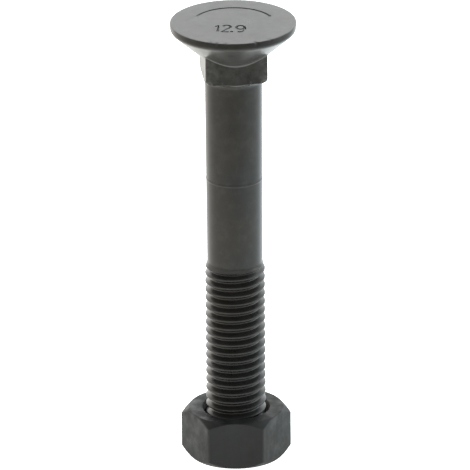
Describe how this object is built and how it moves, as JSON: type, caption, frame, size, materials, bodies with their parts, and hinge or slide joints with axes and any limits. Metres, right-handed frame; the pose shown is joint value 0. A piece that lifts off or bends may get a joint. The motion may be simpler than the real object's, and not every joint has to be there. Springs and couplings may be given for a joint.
{
  "type": "plow bolt",
  "caption": "Flat countersunk plow bolt with a square neck, plain shank and rolled thread, standing on the hex nut that screws along it.",
  "frame": {"origin": "middle of the nut's lower face, on the bolt's axis", "axes": "+Z along the bolt, from the point up to the head; the flats of the square neck face X and Y"},
  "size_m": [0.025, 0.025, 0.0917],
  "materials": {
    "bolt_steel": "black oxide, satin",
    "nut_steel": "black oxide, satin"
  },
  "bodies": {
    "bolt": {"plow_bolt": "bolt_steel"},
    "nut": {"hex_nut": "nut_steel"}
  },
  "joints": [
    {"name": "nut_travel", "type": "slide", "parent": "bolt", "child": "nut", "axis": [0, 0, 1], "range_m": [0, 0.028]}
  ]
}
